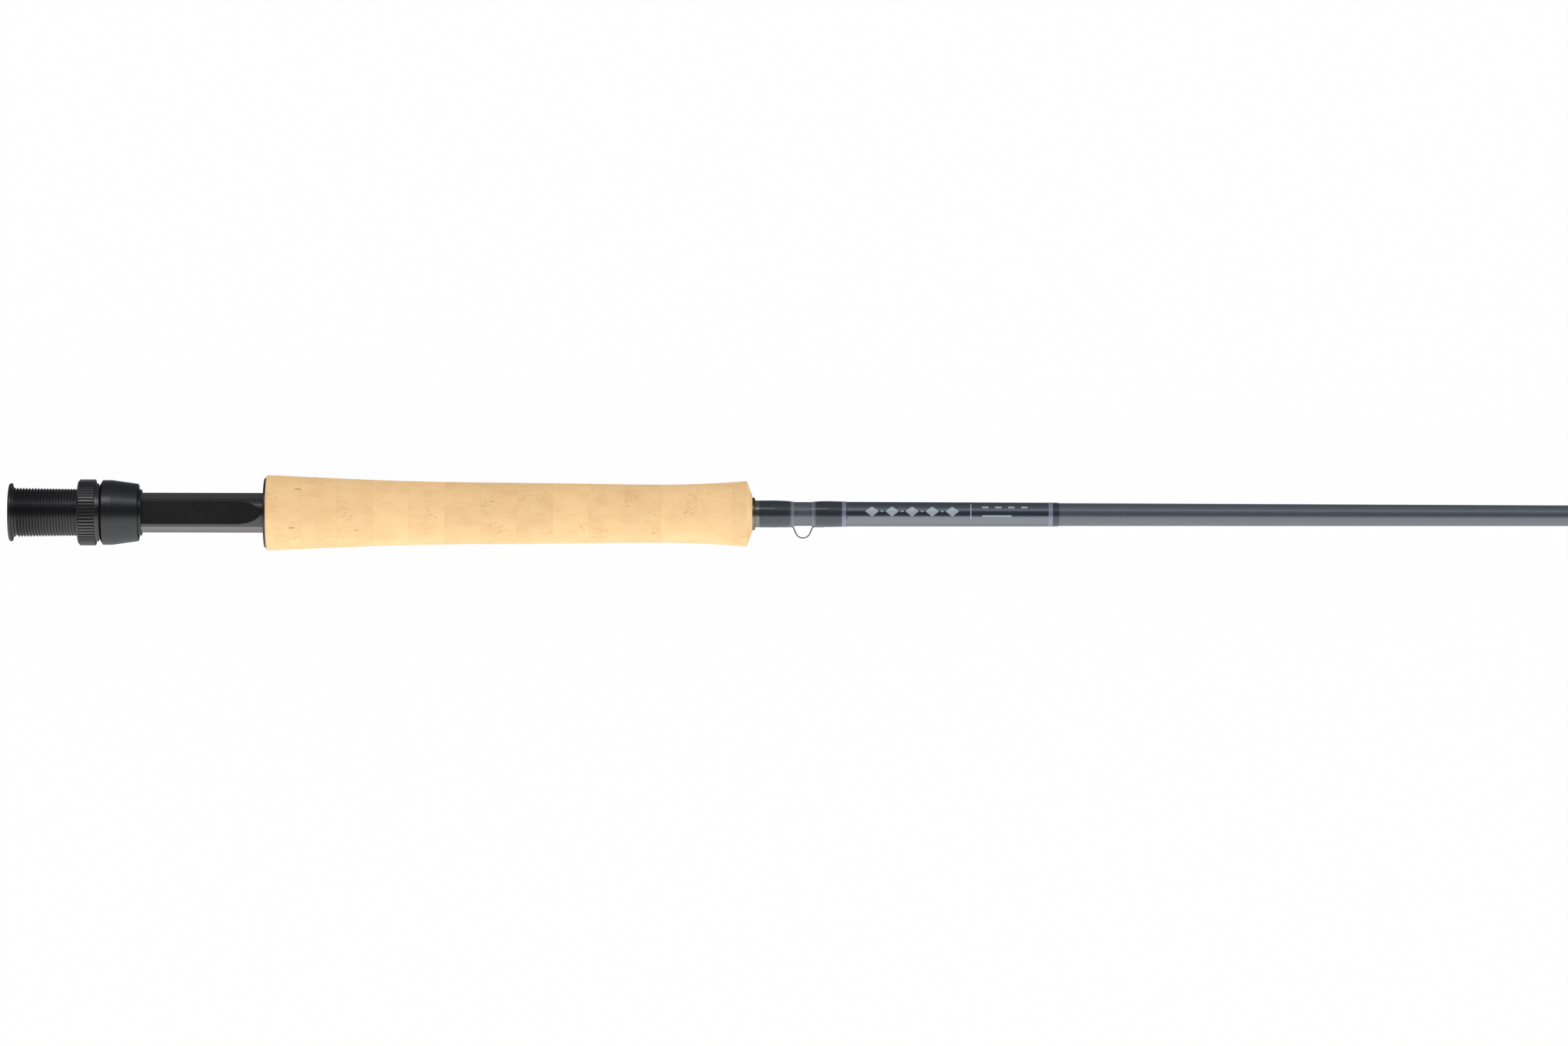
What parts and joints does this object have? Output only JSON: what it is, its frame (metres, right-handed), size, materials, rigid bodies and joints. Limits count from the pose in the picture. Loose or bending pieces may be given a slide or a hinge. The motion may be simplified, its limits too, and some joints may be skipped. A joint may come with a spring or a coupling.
{
  "type": "fly fishing rod",
  "caption": "Four-piece fly rod with a cork grip, an up-locking screw reel seat, a hook keeper and wire line guides; sleeve ferrules pull apart.",
  "frame": {"origin": "centre of the butt cap's flat end face, on the rod axis", "axes": "+X along the rod from butt to tip; -Y is the side of the reel, the hook keeper and the line guides; +Z completes the frame, and the rod lies on its side"},
  "size_m": [2.7457, 0.0319, 0.0268],
  "materials": {
    "black_anodised": "satin black anodised",
    "insert_black": "satin black anodised bar",
    "arbor": "foamed polyurethane",
    "nylon": "natural nylon",
    "cork": "sanded natural cork",
    "blank_slate": "satin slate-grey lacquer over carbon",
    "check_gunmetal": "dark gunmetal",
    "trim_silver": "pale metallic thread under clear epoxy",
    "label_gloss": "deep gloss epoxy over navy",
    "guide_ceramic": "polished ceramic",
    "guide_steel": "bright hard chrome",
    "thread_wrap": "dark navy thread under gloss epoxy"
  },
  "bodies": {
    "butt_section": {"butt_blank": "blank_slate", "butt_cap": "black_anodised", "check_trim_band": "trim_silver", "cork_ring_01": "cork", "cork_ring_02": "cork", "cork_ring_03": "cork", "cork_ring_04": "cork", "cork_ring_05": "cork", "cork_ring_06": "cork", "cork_ring_07": "cork", "cork_ring_08": "cork", "cork_ring_09": "cork", "cork_ring_10": "cork", "cork_ring_11": "cork", "cork_ring_12": "cork", "cork_ring_13": "cork", "cork_ring_14": "cork", "fixed_hood": "black_anodised", "grip_rear_plate": "black_anodised", "hook_keeper": "guide_steel", "keeper_front_wrap": "thread_wrap", "keeper_rear_wrap": "thread_wrap", "label_coat": "label_gloss", "label_front_band": "trim_silver", "label_front_wrap": "thread_wrap", "label_rear_band": "trim_silver", "seat_arbor": "arbor", "seat_insert": "insert_black", "threaded_barrel": "black_anodised", "winding_check": "check_gunmetal"},
    "hood": {"sliding_hood": "black_anodised", "slip_washer": "nylon"},
    "ring": {"lock_ring": "black_anodised"},
    "section_2": {"section_2_blank": "blank_slate", "section_2_ferrule_wrap": "thread_wrap", "section_2_guide_wraps": "thread_wrap", "section_2_snake_guides": "guide_steel", "stripping_guide_1": "guide_steel", "stripping_guide_2": "guide_steel", "stripping_guide_ring_1": "guide_ceramic", "stripping_guide_ring_2": "guide_ceramic"},
    "section_3": {"section_3_blank": "blank_slate", "section_3_ferrule_wrap": "thread_wrap", "section_3_guide_wraps": "thread_wrap", "section_3_snake_guides": "guide_steel"},
    "tip_section": {"tip_section_blank": "blank_slate", "tip_section_ferrule_wrap": "thread_wrap", "tip_section_guide_wraps": "thread_wrap", "tip_section_snake_guides": "guide_steel", "tip_top": "guide_steel", "tip_top_wrap": "thread_wrap"}
  },
  "joints": [
    {"name": "hood_slide", "type": "slide", "parent": "butt_section", "child": "hood", "axis": [1, 0, 0], "range_m": [-0.022, 0.012]},
    {"name": "lock_ring_turn", "type": "hinge", "parent": "hood", "child": "ring", "pos_m": [0.0276, 0, 0], "axis": [1, 0, 0], "range_deg": [-7488.5, 4086.9]},
    {"name": "ferrule_2_pull", "type": "slide", "parent": "butt_section", "child": "section_2", "axis": [1, 0, 0], "range_m": [0, 0.075]},
    {"name": "ferrule_3_pull", "type": "slide", "parent": "section_2", "child": "section_3", "axis": [1, 0, 0], "range_m": [0, 0.065]},
    {"name": "ferrule_tip_pull", "type": "slide", "parent": "section_3", "child": "tip_section", "axis": [1, 0, 0], "range_m": [0, 0.055]}
  ],
  "couplings": [
    {"joint": "lock_ring_turn", "follows": "hood_slide", "rad_per_m": 5936.9}
  ]
}
